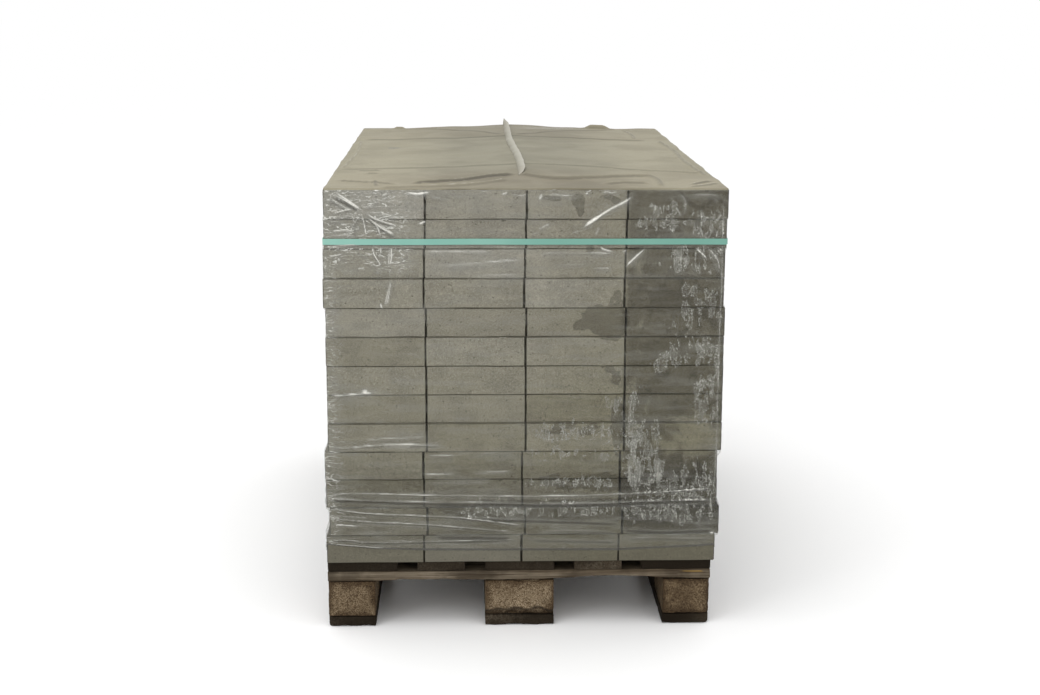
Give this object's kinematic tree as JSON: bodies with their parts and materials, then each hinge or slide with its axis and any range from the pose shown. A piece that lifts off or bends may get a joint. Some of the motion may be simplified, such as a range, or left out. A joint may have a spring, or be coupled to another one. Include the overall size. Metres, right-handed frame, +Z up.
{
  "type": "pallet of concrete pavers",
  "caption": "Wooden block pallet stacked with rows of grey concrete pavers, under a clear plastic film hood that one flat teal strap holds.",
  "frame": {"origin": "on the floor, under the middle of the load of pavers", "axes": "+Z up, +Y from front to back along the pallet's length, +X to the right seen from the front"},
  "size_m": [0.8188, 1.2268, 0.958],
  "materials": {
    "concrete": "rough pressed concrete, dusty and partly wet",
    "sawn_wood": "rough sawn softwood, weathered grey-brown",
    "chip_block": "pressed wood chips",
    "film": "clear shrunk film, wrinkled",
    "strap": "embossed plastic strapping"
  },
  "bodies": {
    "root": {"bottom_board_left": "sawn_wood", "block_front_left": "chip_block", "block_middle_left": "chip_block", "block_back_left": "chip_block", "bottom_board_centre": "sawn_wood", "block_front_centre": "chip_block", "block_middle_centre": "chip_block", "block_back_centre": "chip_block", "bottom_board_right": "sawn_wood", "block_front_right": "chip_block", "block_middle_right": "chip_block", "block_back_right": "chip_block", "cross_board_front": "sawn_wood", "cross_board_middle": "sawn_wood", "cross_board_back": "sawn_wood", "top_board_1": "sawn_wood", "top_board_2": "sawn_wood", "top_board_3": "sawn_wood", "top_board_4": "sawn_wood", "top_board_5": "sawn_wood", "paver_layer_01": "concrete", "paver_layer_02": "concrete", "paver_layer_03": "concrete", "paver_layer_04": "concrete", "paver_layer_05": "concrete", "paver_layer_06": "concrete", "paver_layer_07": "concrete", "paver_layer_08": "concrete", "paver_layer_09": "concrete", "paver_layer_10": "concrete", "paver_layer_11": "concrete", "paver_layer_12": "concrete", "paver_layer_13": "concrete", "film_hood": "film", "strap": "strap"}
  },
  "joints": []
}
